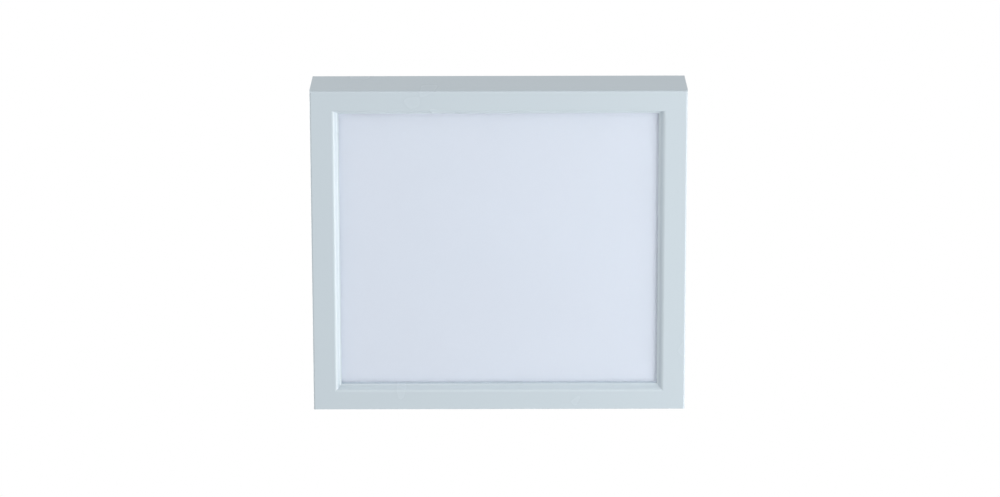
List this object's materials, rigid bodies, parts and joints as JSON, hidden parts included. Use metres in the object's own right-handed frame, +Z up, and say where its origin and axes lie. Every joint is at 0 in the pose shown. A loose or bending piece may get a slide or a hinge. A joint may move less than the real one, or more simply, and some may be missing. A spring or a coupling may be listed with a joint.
{
  "type": "flush mount ceiling light",
  "caption": "Slim square edge-lit ceiling light with a flat opal diffuser in a bevelled white frame, snapped onto a ceiling strap.",
  "frame": {"origin": "middle of the cable hole in the ceiling strap, on the ceiling", "axes": "+Z up into the ceiling, so the lit face looks down along -Z; +X along the strap"},
  "size_m": [0.3, 0.3, 0.028],
  "materials": {
    "white_coat": "satin white powder coat on die-cast aluminium",
    "opal": "opal acrylic, satin",
    "clear_acrylic": "clear acrylic",
    "white_film": "white reflective film",
    "foam": "closed-cell foam",
    "circuit_white": "white solder mask on an aluminium board",
    "led_yellow": "phosphor-filled resin",
    "tape": "thermal tape",
    "zinc_sheet": "zinc-coated sheet steel",
    "zinc_fastener": "bright zinc plate",
    "black_rubber": "soft black rubber",
    "white_plastic": "moulded white plastic",
    "circuit_green": "green solder mask",
    "ferrite": "dark ferrite",
    "winding": "yellow insulating tape over copper",
    "sleeve_black": "black sleeve",
    "black_resin": "moulded black resin",
    "glass_tube": "clear glass",
    "polyamide": "moulded polyamide",
    "spring_steel": "bare spring steel",
    "button_orange": "moulded orange plastic",
    "lead_brown": "brown insulation",
    "lead_blue": "blue insulation",
    "lead_green_yellow": "green and yellow insulation",
    "lead_red": "red insulation",
    "lead_black": "black insulation",
    "tinned_brass": "tinned brass"
  },
  "bodies": {
    "strap": {"ceiling_strap": "zinc_sheet", "clip_rivets": "zinc_fastener", "clip_spring_left": "spring_steel", "clip_spring_right": "spring_steel"},
    "lamp": {"housing": "white_coat", "diffuser": "opal", "light_guide": "clear_acrylic", "reflector_sheet": "white_film", "foam_pad": "foam", "led_board_left": "circuit_white", "led_board_right": "circuit_white", "leds_left": "led_yellow", "leds_right": "led_yellow", "thermal_tape_left": "tape", "thermal_tape_right": "tape", "back_plate": "zinc_sheet", "lead_grommets": "black_rubber", "back_plate_screws": "zinc_fastener", "driver_case_base": "white_plastic", "driver_case_lid": "white_plastic", "driver_board": "circuit_green", "transformer_core": "ferrite", "transformer_winding": "winding", "driver_capacitors": "sleeve_black", "driver_choke": "ferrite", "driver_fuse": "glass_tube", "driver_rectifier": "black_resin", "driver_connectors": "white_plastic", "driver_case_screws": "zinc_fastener", "terminal_block": "polyamide", "terminal_clamps": "spring_steel", "terminal_screws": "zinc_fastener", "earth_ring_terminal": "tinned_brass", "earth_washer": "zinc_fastener", "earth_screw": "zinc_fastener", "live_lead": "lead_brown", "neutral_lead": "lead_blue", "earth_lead": "lead_green_yellow", "lamp_lead_left_positive": "lead_red", "lamp_lead_left_negative": "lead_black", "lamp_lead_right_positive": "lead_red", "lamp_lead_right_negative": "lead_black"},
    "button_live": {"release_button_live": "button_orange"},
    "button_neutral": {"release_button_neutral": "button_orange"},
    "button_earth": {"release_button_earth": "button_orange"}
  },
  "joints": [
    {"name": "lamp_drop", "type": "slide", "parent": "strap", "child": "lamp", "axis": [0, 0, -1], "range_m": [0, 0.06], "deforming": ["clip_spring_left", "clip_spring_right"]},
    {"name": "button_live_push", "type": "slide", "parent": "lamp", "child": "button_live", "axis": [0, 0, -1], "range_m": [0, 0.0012], "stiffness_N_per_m": 500},
    {"name": "button_neutral_push", "type": "slide", "parent": "lamp", "child": "button_neutral", "axis": [0, 0, -1], "range_m": [0, 0.0012], "stiffness_N_per_m": 500},
    {"name": "button_earth_push", "type": "slide", "parent": "lamp", "child": "button_earth", "axis": [0, 0, -1], "range_m": [0, 0.0012], "stiffness_N_per_m": 500}
  ]
}
